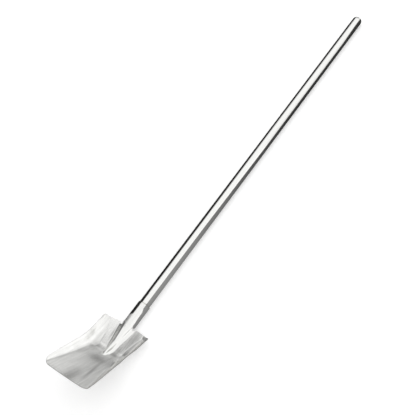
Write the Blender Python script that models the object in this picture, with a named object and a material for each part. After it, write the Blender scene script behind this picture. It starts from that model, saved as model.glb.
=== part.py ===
"""Square-mouth shovel: a blade pressed from one stainless sheet, on a long round tube handle.

The shovel lies on its back. +X runs along the handle to its domed end, +Z is up, and the
shovel is symmetric about Y = 0. The origin is under the middle of its length, on the surface
that it lies on. Sizes are in metres and angles in radians.
"""

import math

import bmesh
import bpy
import numpy as np

# Sheet that the blade is pressed from
SHEET = 0.0018
BLANK_HALF_WIDTH = 0.0837
EDGE_BOW = 0.0019
FRONT_BOW = 0.0022
CORNER_RADIUS = 0.026

# Pan: a long front floor, a cross bend, and a short rear floor up to the shoulders
FRONT_LENGTH = 0.1675
REAR_LENGTH = 0.0919
FRONT_RISE = math.radians(40.4)
REAR_RISE = math.radians(2.1)
BEND_RADIUS = 0.040
EDGE_BEND_RADIUS = 0.121

# Side walls: where they fold up from the floor, how steeply, and how softly
FOLD_AT_FRONT = 0.076
FOLD_AT_BEND = 0.0477
FOLD_AT_SHOULDER = 0.0723
FOLD_ROUNDING = 0.032
WALL_ANGLE_FRONT = math.radians(49.4)
WALL_ANGLE_BEND = math.radians(56.7)
WALL_ANGLE_SHOULDER = math.radians(51.1)
SOFTNESS_FRONT = 0.30
SOFTNESS_BEND = 0.50
SOFTNESS_SHOULDER = 0.95

# Shoulders and the relief notches beside the socket
SHOULDER_SWEEP = 0.0051
SHOULDER_INNER = 0.0322
SHOULDER_CORNER = 0.004
NOTCH_LENGTH = 0.0067
NOTCH_OUTER = 0.026
NOTCH_INNER = 0.019

# Frog: the hollow ridge that carries the socket's top line down onto the floor
FROG_HALF_WIDTH_NOTCH = 0.0285
FROG_HALF_WIDTH_BEND = 0.0135
FROG_HALF_WIDTH_LEAST = 0.007
RIDGE_SAG = 0.005
FROG_TIP_SPREAD = 3.2
FROG_LIMIT_SHARPNESS = 6.0
CREST_RADIUS_TIP = 0.004
CREST_SHARE_MOST = 0.6

# Handle tube and the socket rolled round it
TUBE_RADIUS = 0.0167
TUBE_WALL = 0.0012
FIT_GAP = 0.0003
SOCKET_LENGTH = 0.0735
SHOULDER_ABOVE_AXIS = 0.0016
ROLL_LENGTH = 0.014
WING_LENGTH = 0.030
SEAM_GAP = 0.003
HANDLE_REACH = 1.3044

# Domed cap at the handle's end
DOME_HEIGHT = 0.0160
SPIGOT_LENGTH = 0.018
CAP_WALL = 0.0015

# Weld beads
MOUTH_BEAD_LEG = 0.0022
SEAM_BEAD_HALF_WIDTH = 0.0026
SEAM_BEAD_PROUD = 0.0008

# Mesh density
CORNER_ROWS = 8
FLOOR_ROWS = 7
BEND_ROWS = 18
REAR_ROWS = 5
SHOULDER_ROWS = 3
ROLL_ROWS = 10
SOCKET_ROWS = 5
CREST_COLUMNS = 13
NOTCH_COLUMNS = 2
SIDE_COLUMNS = 16
TUBE_SIDES = 48
BEAD_STEPS = 6
DOME_STEPS = 8
NEARLY_NOTHING = 1e-6
MERGE_DISTANCE = 1e-5
SHARP_ANGLE = math.radians(35.0)

# Places that follow from the sizes above
SOCKET_RADIUS = TUBE_RADIUS + FIT_GAP + SHEET
PAN_LENGTH = FRONT_LENGTH + REAR_LENGTH
BEND_TURN = FRONT_RISE - REAR_RISE
AXIS_Z = SOCKET_RADIUS + SEAM_BEAD_PROUD
FRONT_OVERHANG = FRONT_LENGTH * math.cos(FRONT_RISE) + SHEET * math.sin(FRONT_RISE)
REAR_REACH = REAR_LENGTH * math.cos(REAR_RISE)
SHOULDER_X = (FRONT_OVERHANG + REAR_REACH - SOCKET_LENGTH - HANDLE_REACH) / 2
BEND_X = SHOULDER_X - REAR_REACH
BEND_Z = AXIS_Z + SHOULDER_ABOVE_AXIS + REAR_LENGTH * math.sin(REAR_RISE)
NOTCH_X = SHOULDER_X - NOTCH_LENGTH * math.cos(REAR_RISE)
MOUTH_X = SHOULDER_X + SOCKET_LENGTH
DOME_X = MOUTH_X + HANDLE_REACH
SEAM_X = NOTCH_X + WING_LENGTH
CAP_X = DOME_X - DOME_HEIGHT
TIP_X = BEND_X - (AXIS_Z + SOCKET_RADIUS - BEND_Z) / math.tan(FRONT_RISE)

# Colours and how far each finish scatters light
STEEL_COLOUR = (0.62, 0.62, 0.61, 1.0)
BEAD_COLOUR = (0.50, 0.50, 0.49, 1.0)
SHEET_ROUGHNESS = 0.38
TUBE_ROUGHNESS = 0.12
CAP_ROUGHNESS = 0.14
MOUTH_WELD_ROUGHNESS = 0.30
SEAM_WELD_ROUGHNESS = 0.45


def clear_scene():
    for obj in list(bpy.data.objects):
        bpy.data.objects.remove(obj, do_unlink=True)


def steel(name, colour, roughness):
    """A bare stainless finish."""
    material = bpy.data.materials.new(name)
    material.use_nodes = True
    shader = material.node_tree.nodes["Principled BSDF"]
    shader.inputs["Base Color"].default_value = colour
    shader.inputs["Metallic"].default_value = 1.0
    shader.inputs["Roughness"].default_value = roughness
    return material


def add_object(name, bm, material):
    """Turn a bmesh into a named object with smooth shading and sharp cut edges."""
    mesh = bpy.data.meshes.new(name)
    bm.to_mesh(mesh)
    bm.free()
    mesh.shade_smooth()
    mesh.set_sharp_from_angle(angle=SHARP_ANGLE)
    mesh.materials.append(material)
    obj = bpy.data.objects.new(name, mesh)
    bpy.context.scene.collection.objects.link(obj)
    return obj


def blend(t):
    """Smooth step from 0 to 1."""
    t = np.clip(t, 0.0, 1.0)
    return t * t * (3.0 - 2.0 * t)


def floor_line(station, radius):
    """The pan's floor from the front edge back: straight, an arc of the given radius, straight.

    The station is measured along the two straights up to where they would cross. Returns x, z
    and the line's angle to the handle.
    """
    tangent = radius * math.tan(BEND_TURN / 2)
    turn = np.clip((station - FRONT_LENGTH + tangent) / (2 * tangent), 0, 1) * BEND_TURN
    angle = turn - FRONT_RISE
    front = np.minimum(station, FRONT_LENGTH - tangent) - FRONT_LENGTH
    rear = np.maximum(station - FRONT_LENGTH - tangent, 0)
    x = BEND_X + front * math.cos(FRONT_RISE) + rear * math.cos(REAR_RISE)
    z = BEND_Z - front * math.sin(FRONT_RISE) - rear * math.sin(REAR_RISE)
    x = x + radius * (np.sin(angle) + math.sin(FRONT_RISE))
    z = z + radius * (math.cos(FRONT_RISE) - np.cos(angle))
    return x, z, angle


def along_pan(station, front, bend, shoulder):
    """A size that runs straight from front to bend to shoulder, rounded over the bend."""
    past = station - FRONT_LENGTH
    before = (bend - front) / FRONT_LENGTH
    after = (shoulder - bend) / REAR_LENGTH
    rounded = np.sqrt(past**2 + FOLD_ROUNDING**2)
    return bend + (after + before) / 2 * past + (after - before) / 2 * rounded


def half_width(station):
    """Half width of the flat sheet, which bows out a little between front and shoulders."""
    return BLANK_HALF_WIDTH + EDGE_BOW * np.sin(math.pi * np.clip(station / PAN_LENGTH, 0, 1))


def fold_shape(station):
    """Where the wall folds up, its angle, and how much of the sheet its rounded foot takes."""
    fold = along_pan(station, FOLD_AT_FRONT, FOLD_AT_BEND, FOLD_AT_SHOULDER)
    angle = along_pan(station, WALL_ANGLE_FRONT, WALL_ANGLE_BEND, WALL_ANGLE_SHOULDER)
    soft = along_pan(station, SOFTNESS_FRONT, SOFTNESS_BEND, SOFTNESS_SHOULDER)
    return fold, angle, soft * np.maximum(half_width(station) - fold, 0)


def trough(station, across):
    """The pan's cross-section: a flat floor, a rounded fold and a straight wall.

    across is the distance from the middle along the sheet. Returns the distance sideways and
    the height over the floor.
    """
    fold, angle, tangent = fold_shape(station)
    radius = np.maximum(tangent / np.tan(angle / 2), NEARLY_NOTHING)
    turn = np.clip((across - fold + tangent) / radius, 0, angle)
    wall = np.maximum(across - fold + tangent - radius * angle, 0)
    side = np.minimum(across, fold - tangent) + radius * np.sin(turn) + wall * np.cos(angle)
    height = radius * (1 - np.cos(turn)) + wall * np.sin(angle)
    return side, height


def ridge_line(x):
    """Height of the frog's ridge, which sags a little between its tip and the socket."""
    along = np.clip((x - TIP_X) / (NOTCH_X - TIP_X), 0, 1)
    return AXIS_Z + SOCKET_RADIUS - RIDGE_SAG * np.sin(math.pi * along) ** 2


def frog_shape(x, floor_z):
    """The frog's half width, crest radius, foot radius and flank angle over a floor height."""
    height = np.maximum(ridge_line(x) - floor_z, NEARLY_NOTHING)
    along = (x - BEND_X) / (NOTCH_X - BEND_X)
    width = FROG_HALF_WIDTH_BEND + (FROG_HALF_WIDTH_NOTCH - FROG_HALF_WIDTH_BEND) * along
    width = np.maximum(width, FROG_HALF_WIDTH_LEAST)
    power = FROG_LIMIT_SHARPNESS
    width = (width**-power + (FROG_TIP_SPREAD * height) ** -power) ** (-1 / power)
    flank = 2 * np.arctan(height / width)
    both = height / (1 - np.cos(flank))
    crest = CREST_RADIUS_TIP + (SOCKET_RADIUS - CREST_RADIUS_TIP) * np.clip(along, 0, 1)
    crest = np.minimum(crest, CREST_SHARE_MOST * both)
    return width, crest, both - crest, flank


def frog_height(x, side, floor_z):
    """Height of the frog over the floor: a round crest that meets hollow feet tangentially."""
    width, crest, foot, flank = frog_shape(x, floor_z)
    top = np.maximum(ridge_line(x) - floor_z, 0)
    on_crest = top - crest + np.sqrt(np.maximum(crest**2 - side**2, 0))
    on_foot = foot - np.sqrt(np.maximum(foot**2 - (width - side) ** 2, 0))
    height = np.where(side < crest * np.sin(flank), on_crest, on_foot)
    return np.where((side < width) & (top > NEARLY_NOTHING), height, 0.0)


def pan_points(station, across):
    """Points of one half of the pan's upper face, from distances across the sheet."""
    side, height = trough(station, across)
    flat = np.minimum(FOLD_AT_BEND, across)
    spread = blend((across - flat) / (BLANK_HALF_WIDTH - FOLD_AT_BEND))
    radius = BEND_RADIUS + (EDGE_BEND_RADIUS - BEND_RADIUS) * spread
    x, z, angle = floor_line(station, radius)
    x = x - height * np.sin(angle)
    z = z + height * np.cos(angle)
    z = z + frog_height(x, side, z)
    return np.stack([x, side, z], axis=-1)


def column_shares():
    """Places of the mesh columns: 0 at the middle, 1 beside the notch, 2 at the sheet's edge."""
    crest = np.linspace(0, NOTCH_INNER / NOTCH_OUTER, CREST_COLUMNS + 1)
    notch = np.linspace(NOTCH_INNER / NOTCH_OUTER, 1, NOTCH_COLUMNS + 1)
    side = np.linspace(1, 2, SIDE_COLUMNS + 1)
    return np.concatenate([crest, notch[1:], side[1:]])


def distance_across(station, share):
    """Distance along the sheet from the middle, cut back at the round front corner."""
    cut = np.clip(1 - station / CORNER_RADIUS, 0, 1)
    edge = half_width(station) - CORNER_RADIUS * (1 - np.sqrt(1 - cut**2))
    outside = np.maximum(share - 1, 0)
    return NOTCH_OUTER * np.minimum(share, 1) + (edge - NOTCH_OUTER) * outside


def set_back(station, across):
    """Stations moved back towards the sides, because the front edge bows out in the middle."""
    fade = np.clip(1 - station / FRONT_LENGTH, 0, 1)
    return station + FRONT_BOW * (across / BLANK_HALF_WIDTH) ** 2 * fade


def shoulder_edge(share):
    """Stations of the swept shoulder edge, whose outer corner is rounded."""
    outside = np.maximum(share - 1, 0)
    from_edge = (1 - outside) * (BLANK_HALF_WIDTH - NOTCH_OUTER)
    near = np.clip(1 - from_edge / SHOULDER_CORNER, 0, 1)
    rounding = SHOULDER_CORNER * (1 - np.sqrt(1 - near**2))
    return PAN_LENGTH - SHOULDER_SWEEP * outside - rounding


def pan_grid():
    """Rows of points from the rounded front corners to the bottoms of the notches."""
    reach = EDGE_BEND_RADIUS * math.tan(BEND_TURN / 2)
    quarter = np.linspace(0, math.pi / 2, CORNER_ROWS + 1)
    corner = CORNER_RADIUS * (1 - np.cos(quarter))
    floor = np.linspace(CORNER_RADIUS, FRONT_LENGTH - reach, FLOOR_ROWS + 1)
    bend = np.linspace(FRONT_LENGTH - reach, FRONT_LENGTH + reach, BEND_ROWS + 1)
    rows = np.concatenate([corner, floor[1:], bend[1:]])
    share = column_shares()
    step = np.linspace(0, 1, REAR_ROWS + 1)[1:, None]
    last = shoulder_edge(share) - NOTCH_LENGTH
    rear = rows[-1] + (last - rows[-1]) * step
    station = np.concatenate([rows[:, None] + 0 * share, rear])
    across = distance_across(station, share)
    half = pan_points(set_back(station, across), across)
    other = half[:, :0:-1] * (1, -1, 1)
    return np.concatenate([other, half], axis=1)


def shoulder_grid():
    """Rows behind the bottom of the notch, out to the shoulder edge."""
    share = column_shares()[CREST_COLUMNS + NOTCH_COLUMNS :]
    step = np.linspace(0, 1, SHOULDER_ROWS + 1)[:, None]
    station = shoulder_edge(share) - NOTCH_LENGTH * (1 - step)
    shift = (SHOULDER_INNER - NOTCH_OUTER) * (2 - share) * step
    return pan_points(station, distance_across(station, share) + shift)


def socket_grid():
    """Rows from the notches to the mouth, where the frog's section rolls up into a tube.

    Each row is drawn by its slope along the sheet: the frog's slope turns into a circle's,
    while the wings of the sheet widen until their edges nearly meet under the tube.
    """
    side = np.linspace(0, NOTCH_INNER, CREST_COLUMNS + 1)
    _, notch_z, _ = floor_line(PAN_LENGTH - NOTCH_LENGTH, BEND_RADIUS)
    height = frog_height(NOTCH_X, side, notch_z)
    lengths = np.hypot(np.diff(side), np.diff(height))
    slopes = np.arctan2(-np.diff(height), np.diff(side))
    arc = np.concatenate([[0], np.cumsum(lengths)])
    full = math.pi * SOCKET_RADIUS - SEAM_GAP / 2
    even = np.linspace(0, full, CREST_COLUMNS + 1)
    roll = np.linspace(NOTCH_X, SEAM_X, ROLL_ROWS + 1)
    straight = np.linspace(SEAM_X, MOUTH_X, SOCKET_ROWS + 1)
    rows = []
    for x in np.concatenate([roll, straight[1:]]):
        rolled = blend((x - NOTCH_X) / ROLL_LENGTH)
        grown = arc + (even - arc) * blend((x - NOTCH_X) / WING_LENGTH)
        lengths = np.diff(grown)
        circle = (grown[1:] + grown[:-1]) / 2 / SOCKET_RADIUS
        angle = (1 - rolled) * slopes + rolled * circle
        y = np.concatenate([[0], np.cumsum(lengths * np.cos(angle))])
        drop = np.concatenate([[0], np.cumsum(lengths * np.sin(angle))])
        z = AXIS_Z + SOCKET_RADIUS - drop
        rows.append(np.stack([np.full_like(y, x), y, z], axis=-1))
    half = np.stack(rows)
    other = half[:, :0:-1] * (1, -1, 1)
    return np.concatenate([other, half], axis=1)


def add_grid(bm, points, upper=True):
    """Faces over a grid of points, with their normals on the pan's upper face."""
    verts = [[bm.verts.new(point) for point in row] for row in points]
    for row, next_row in zip(verts, verts[1:]):
        for a, b, c, d in zip(row, next_row, next_row[1:], row[1:]):
            bm.faces.new((a, b, c, d) if upper else (d, c, b, a))


def build_blade(material):
    """The pressed sheet: pan, walls, frog and rolled socket in one piece."""
    bm = bmesh.new()
    add_grid(bm, pan_grid())
    shoulder = shoulder_grid()
    add_grid(bm, shoulder)
    add_grid(bm, shoulder * (1, -1, 1), upper=False)
    add_grid(bm, socket_grid())
    bmesh.ops.remove_doubles(bm, verts=bm.verts, dist=MERGE_DISTANCE)
    blade = add_object("blade", bm, material)
    thicken = blade.modifiers.new("sheet thickness", "SOLIDIFY")
    thicken.thickness = SHEET
    thicken.offset = -1.0
    thicken.use_even_offset = True
    return blade


def revolve(name, profile, material, closed):
    """Spin a profile of (x, radius) points about the handle's axis."""
    bm = bmesh.new()
    verts = [bm.verts.new((x, 0, AXIS_Z + radius)) for x, radius in profile]
    edges = [bm.edges.new(pair) for pair in zip(verts, verts[1:])]
    if closed:
        edges.append(bm.edges.new((verts[-1], verts[0])))
    bmesh.ops.spin(
        bm,
        geom=verts + edges,
        cent=(0, 0, AXIS_Z),
        axis=(1, 0, 0),
        angle=2 * math.pi,
        steps=TUBE_SIDES,
        use_merge=True,
    )
    bmesh.ops.remove_doubles(bm, verts=bm.verts, dist=MERGE_DISTANCE)
    bmesh.ops.recalc_face_normals(bm, faces=bm.faces)
    return add_object(name, bm, material)


def build_handle_tube(material):
    """The long tube, seated in the socket and open at both ends."""
    inner = TUBE_RADIUS - TUBE_WALL
    end = CAP_X - FIT_GAP
    profile = [(SEAM_X, inner), (SEAM_X, TUBE_RADIUS), (end, TUBE_RADIUS), (end, inner)]
    return revolve("handle_tube", profile, material, closed=True)


def build_end_cap(material):
    """A domed cap with a hollow spigot that slides into the tube."""
    spigot = TUBE_RADIUS - TUBE_WALL - FIT_GAP
    turn = np.linspace(0, math.pi / 2, DOME_STEPS + 1)
    dome = [
        (CAP_X + DOME_HEIGHT * math.cos(a), TUBE_RADIUS * math.sin(a)) for a in turn
    ]
    foot = CAP_X - SPIGOT_LENGTH
    bore = spigot - CAP_WALL
    profile = dome + [
        (CAP_X, spigot),
        (foot, spigot),
        (foot, bore),
        (CAP_X, bore),
        (CAP_X, 0),
    ]
    return revolve("end_cap", profile, material, closed=False)


def build_mouth_weld(material):
    """The fillet bead that closes the step from the socket's rim to the tube."""
    foot = MOUTH_X + FIT_GAP
    low = TUBE_RADIUS + FIT_GAP
    high = SOCKET_RADIUS - low
    turn = np.linspace(0, math.pi / 2, BEAD_STEPS + 1)
    bulge = [
        (foot + MOUTH_BEAD_LEG * math.cos(a), low + high * math.sin(a)) for a in turn
    ]
    return revolve("mouth_weld", [(foot, low)] + bulge, material, closed=True)


def build_seam_weld(material):
    """The bead that closes the seam along the back of the socket, where its edges meet."""
    half_stem = SEAM_GAP / 2 - 2 * FIT_GAP
    stem_top = -(TUBE_RADIUS + FIT_GAP)
    under = -(SOCKET_RADIUS + FIT_GAP)
    turn = np.linspace(0, math.pi, 2 * BEAD_STEPS + 1)
    proud = SEAM_BEAD_PROUD - FIT_GAP
    cap = [
        (SEAM_BEAD_HALF_WIDTH * math.cos(a), under - proud * math.sin(a)) for a in turn
    ]
    outline = [(half_stem, stem_top), (half_stem, under)] + cap
    outline += [(-half_stem, under), (-half_stem, stem_top)]
    bm = bmesh.new()
    verts = [bm.verts.new((SEAM_X, y, AXIS_Z + z)) for y, z in outline]
    face = bm.faces.new(verts)
    grown = bmesh.ops.extrude_face_region(bm, geom=[face])
    moved = [item for item in grown["geom"] if isinstance(item, bmesh.types.BMVert)]
    bmesh.ops.translate(bm, verts=moved, vec=(MOUTH_X - SEAM_X, 0, 0))
    bmesh.ops.recalc_face_normals(bm, faces=bm.faces)
    return add_object("seam_weld", bm, material)


def main():
    clear_scene()
    build_blade(steel("brushed stainless sheet", STEEL_COLOUR, SHEET_ROUGHNESS))
    build_handle_tube(steel("polished stainless tube", STEEL_COLOUR, TUBE_ROUGHNESS))
    build_end_cap(steel("polished stainless cap", STEEL_COLOUR, CAP_ROUGHNESS))
    build_mouth_weld(steel("ground weld ring", BEAD_COLOUR, MOUTH_WELD_ROUGHNESS))
    build_seam_weld(steel("seam weld bead", BEAD_COLOUR, SEAM_WELD_ROUGHNESS))


main()
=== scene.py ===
"""Looks of a square-mouth shovel: a blade pressed from one stainless sheet on a tube handle.

The shovel lies on its back. +X runs along the handle to its domed end, +Y to its left, and +Z
up, and the shovel is symmetric about Y = 0. Sizes are in metres and angles in radians.
"""

import math
from functools import partial

import bmesh
import bpy
import numpy as np
from bpy.props import FloatProperty, FloatVectorProperty, PointerProperty
from mathutils import Matrix, Vector


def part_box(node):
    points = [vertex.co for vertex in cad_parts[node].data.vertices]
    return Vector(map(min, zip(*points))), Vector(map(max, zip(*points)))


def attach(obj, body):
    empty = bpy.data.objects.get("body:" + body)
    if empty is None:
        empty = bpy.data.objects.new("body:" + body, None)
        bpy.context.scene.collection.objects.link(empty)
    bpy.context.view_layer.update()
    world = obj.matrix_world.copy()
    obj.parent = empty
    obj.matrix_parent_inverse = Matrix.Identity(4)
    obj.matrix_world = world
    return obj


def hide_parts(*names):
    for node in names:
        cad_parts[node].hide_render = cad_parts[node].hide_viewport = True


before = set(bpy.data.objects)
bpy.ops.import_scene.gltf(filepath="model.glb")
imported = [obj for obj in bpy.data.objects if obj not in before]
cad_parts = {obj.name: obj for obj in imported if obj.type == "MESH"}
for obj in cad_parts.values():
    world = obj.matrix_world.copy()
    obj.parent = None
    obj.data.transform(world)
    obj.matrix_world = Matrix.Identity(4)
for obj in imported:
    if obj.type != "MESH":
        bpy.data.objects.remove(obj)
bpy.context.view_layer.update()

bl_info = {
    "name": "Square shovel",
    "version": (1, 0, 0),
    "blender": (4, 5, 0),
    "location": "3D View > Sidebar > Shovel",
    "description": "Makes the pieces, the finishes and the studio of a square shovel",
    "category": "Add Mesh",
}

# Sheet that the blade is pressed from
SHEET = 0.0018
BLANK_HALF_WIDTH = 0.0837
EDGE_BOW = 0.0019
FRONT_BOW = 0.0022
CORNER_RADIUS = 0.026

# Pan: a long front floor, a cross bend, and a short rear floor up to the shoulders
FRONT_LENGTH = 0.1675
REAR_LENGTH = 0.0919
FRONT_RISE = math.radians(40.4)
REAR_RISE = math.radians(2.1)
BEND_RADIUS = 0.040
EDGE_BEND_RADIUS = 0.121

# Side walls: where they fold up from the floor, how steeply, and how softly
FOLD_AT_FRONT = 0.076
FOLD_AT_BEND = 0.0477
FOLD_AT_SHOULDER = 0.0723
FOLD_ROUNDING = 0.032
WALL_ANGLE_FRONT = math.radians(49.4)
WALL_ANGLE_BEND = math.radians(56.7)
WALL_ANGLE_SHOULDER = math.radians(51.1)
SOFTNESS_FRONT = 0.30
SOFTNESS_BEND = 0.50
SOFTNESS_SHOULDER = 0.95

# Shoulders and the relief notches beside the socket
SHOULDER_SWEEP = 0.0051
SHOULDER_INNER = 0.0322
SHOULDER_CORNER = 0.004
NOTCH_LENGTH = 0.0067
NOTCH_OUTER = 0.026
NOTCH_INNER = 0.019

# Frog: the hollow ridge that carries the socket's top line down onto the floor
FROG_HALF_WIDTH_NOTCH = 0.0285
FROG_HALF_WIDTH_BEND = 0.0135
FROG_HALF_WIDTH_LEAST = 0.007
RIDGE_SAG = 0.005
FROG_TIP_SPREAD = 3.2
FROG_LIMIT_SHARPNESS = 6.0
CREST_RADIUS_TIP = 0.004
CREST_SHARE_MOST = 0.6

# Handle tube and the socket rolled round it
TUBE_RADIUS = 0.0167
TUBE_WALL = 0.0012
FIT_GAP = 0.0003
SHOULDER_ABOVE_AXIS = 0.0016
ROLL_LENGTH = 0.014
WING_LENGTH = 0.030
SEAM_GAP = 0.003

# Domed cap at the handle's end
DOME_HEIGHT = 0.0160
SPIGOT_LENGTH = 0.018
CAP_WALL = 0.0015

# Weld beads
MOUTH_BEAD_LEG = 0.0022
SEAM_BEAD_HALF_WIDTH = 0.0026
SEAM_BEAD_PROUD = 0.0008

# Buffing and painted shade: the frog is buffed up to its foot, and the pan's floor gets a faint
# painted shade, a darker tone that fades out at the fold
BUFF_FEATHER = 0.004
FLOOR_PAINTED_SHADE = 0.10
PAINTED_SHADE_FEATHER = 0.012

# Painted shade patches, darker spots and streaks that stand in for shade and dark reflections on
# the pan: how dark each one is, its place and its reach, both along the flat sheet and then
# across it, and how far it drifts across for each step along
TIP_PAINTED_SHADE = (0.60, (0.121, -0.003), (0.017, 0.029), 0.0)
MOUTH_PAINTED_SHADE = (0.62, (0.006, -0.010), (0.055, 0.018), 0.0)
STREAK_PAINTED_SHADE = (0.54, (0.072, -0.031), (0.040, 0.0045), 0.19)
REAR_PAINTED_SHADE = (0.58, (0.238, -0.042), (0.040, 0.016), 0.0)
FOLD_PAINTED_SHADE = (0.3, (0.148, -0.049), (0.028, 0.006), 0.0)
FOOT_PAINTED_SHADE = (0.7, (0.224, 0.0235), (0.020, 0.005), 0.0)
RIGHT_BEND_PAINTED_SHADE = (0.6, (0.173, -0.020), (0.015, 0.013), 0.0)
LEFT_BEND_PAINTED_SHADE = (0.42, (0.166, 0.043), (0.012, 0.013), 0.0)
FLOOR_SHADE_PATCHES = (TIP_PAINTED_SHADE, MOUTH_PAINTED_SHADE, STREAK_PAINTED_SHADE, REAR_PAINTED_SHADE)
BEND_SHADE_PATCHES = (FOLD_PAINTED_SHADE, FOOT_PAINTED_SHADE, RIGHT_BEND_PAINTED_SHADE, LEFT_BEND_PAINTED_SHADE)

# Mesh density
CORNER_ROWS = 16
FLOOR_ROWS = 36
BEND_ROWS = 48
REAR_ROWS = 14
SHOULDER_ROWS = 5
ROLL_ROWS = 24
SOCKET_ROWS = 16
CREST_COLUMNS = 34
NOTCH_COLUMNS = 4
SIDE_COLUMNS = 34
ROUND_SIDES = 128
TUBE_ROWS = 90
DOME_STEPS = 28
BEAD_STEPS = 10
RIPPLE_ROWS = 6
EDGE_SEGMENTS = 2
NEARLY_NOTHING = 1e-6
MERGE_DISTANCE = 1e-5

# Edges sharper than the first stay crisp on a closed piece, and than the second are deburred
SHARP_ANGLE = math.radians(40.0)
DEBURRED_ANGLE = math.radians(60.0)

# Solidify: the sheet grows away from its upper face, and its rim takes the second material
SHEET_GROWS_DOWN = -1.0
EDGE_SLOT = 1

# Sheet's shade: what most of a noise and of two mixed ones lie between, how much of the shade
# is clouds, and the one shade of the buffed parts
NOISE_LOW = 0.3
NOISE_HIGH = 0.7
SHADE_LOW = 0.35
SHADE_HIGH = 0.65
CLOUD_SHARE = 0.35
BUFFED_SHADE = 0.4

# What scuffs, streaks, polishing marks and brush marks add to or take from a roughness
SCUFF_ROUGHNESS = 0.12
STREAK_ROUGHNESS = 0.05
MARK_SMOOTHER = 0.04
MARK_ROUGHER = 0.05
GRIT_ROUGHNESS = 0.1

# How deep a bump is, and the quarter turn that spreads a reflection across the grain
BUMP_DEPTH = 0.0002
ACROSS_GRAIN = 0.25

# Tube's marks for each metre, along it and round it, and the scuffs' share of them
RINGS_ROUND = 25.0
SCUFFS_ALONG = 6.0
SCUFFS_ROUND = 300.0
SCUFF_SHARE = 0.5

# Places of the colour sockets in a Mix node, whose names repeat for each kind of value
COLOUR_A = 6
COLOUR_B = 7
COLOUR_RESULT = 2

# Places that follow from the sizes above and from the boxes of the blade and the handle's cap
SOCKET_RADIUS = TUBE_RADIUS + FIT_GAP + SHEET
PAN_LENGTH = FRONT_LENGTH + REAR_LENGTH
BEND_TURN = FRONT_RISE - REAR_RISE
AXIS_Z = SOCKET_RADIUS + SEAM_BEAD_PROUD
DOME_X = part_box("end_cap")[1][0]
CAP_X = DOME_X - DOME_HEIGHT
MOUTH_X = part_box("blade")[1][0]
FRONT_OVERHANG = FRONT_LENGTH * math.cos(FRONT_RISE) + SHEET * math.sin(FRONT_RISE)
BEND_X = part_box("blade")[0][0] + FRONT_OVERHANG
SHOULDER_X = BEND_X + REAR_LENGTH * math.cos(REAR_RISE)
BEND_Z = AXIS_Z + SHOULDER_ABOVE_AXIS + REAR_LENGTH * math.sin(REAR_RISE)
NOTCH_X = SHOULDER_X - NOTCH_LENGTH * math.cos(REAR_RISE)
SEAM_X = NOTCH_X + WING_LENGTH
TIP_X = BEND_X - (AXIS_Z + SOCKET_RADIUS - BEND_Z) / math.tan(FRONT_RISE)
NOTCH_STATION = PAN_LENGTH - NOTCH_LENGTH

# Studio paper, and the distances from the shovel's middle between which its lift grows
PAPER_HALF = 6.0
PAPER_NEAR = 1.1
PAPER_FAR = 2.8
PLAIN_WHITE = 1.0

# Overhead softbox, and the cloth that reflections see of it: its ends in x and sides in y
SOFTBOX_PLACE = (1.0, 0.0, 1.7)
SOFTBOX_SIZE = (5.2, 4.4)
CLOTH_ENDS = (-2.4, 3.6)
CLOTH_SIDES = (-2.2, 2.2)

# Far cards, all in one plane: the points (x, z) along their upper edges where they meet
FAR_Y = 0.7
FAR_FIRST = (-0.9, 1.23)
FAR_SPLIT = (-0.22, 1.23)
FAR_KNEE = (-0.1, 1.13)
FAR_END = (0.06, 1.08)
FAR_TUBE = (0.35, 1.07)
FAR_LAST = (1.8, 1.05)
FAR_FOOT = 0.6
FAR_TUBE_FOOT = 0.5
UPPER_FIRST = (-0.5, 1.23)
UPPER_TOP = ((-0.5, 1.5), (-0.24, 1.5), (-0.24, 1.3), (-0.15, 1.26), (0.06, 1.3))

# Low cards that stand along the handle, with the points (x, z) along their upper edges
FAR_LOW_Y = 0.06
FAR_LOW_START = ((-0.57, 0.02), (-0.5, 0.02), (-0.47, 0.10), (-0.3, 0.095))
FAR_LOW_REST = ((0.0, 0.08), (0.3, 0.074), (0.45, 0.079), (1.0, 0.079))
NECK_Y = 0.03
NECK_TOP = ((-0.549, 0.03), (-0.535, 0.075), (-0.46, 0.075))
NEAR_LOW_Y = -0.06
NEAR_LOW_START = ((-0.59, 0.026), (-0.553, 0.026), (-0.54, 0.034), (-0.52, 0.034))
NEAR_LOW_MIDDLE = ((-0.505, 0.066), (-0.2, 0.060), (0.15, 0.034), (0.7, 0.034))
NEAR_LOW_END = ((0.8, 0.055), (1.0, 0.055))
WHITE_Y = -0.7
WHITE_TOP = ((-1.3, 0.75), (0.6, 0.6))

# Cards that lie on the paper, and the one that stands across the handle's end
CARD_LIFT = 0.001
FAR_STRIP_ENDS = (-0.57, 1.0)
FAR_STRIP_SIDES = (0.008, 0.06)
NEAR_STRIP_ENDS = (-0.6, 1.0)
NEAR_STRIP_SIDES = (-0.09, -0.008)
FLOOR_CARD_ENDS = (-0.95, 0.75)
FLOOR_CARD_SIDES = (0.16, 0.69)
END_CARD_X = 2.0
END_CARD_SIDES = (-0.3, 0.7)
END_CARD_HEIGHT = 1.2

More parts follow.
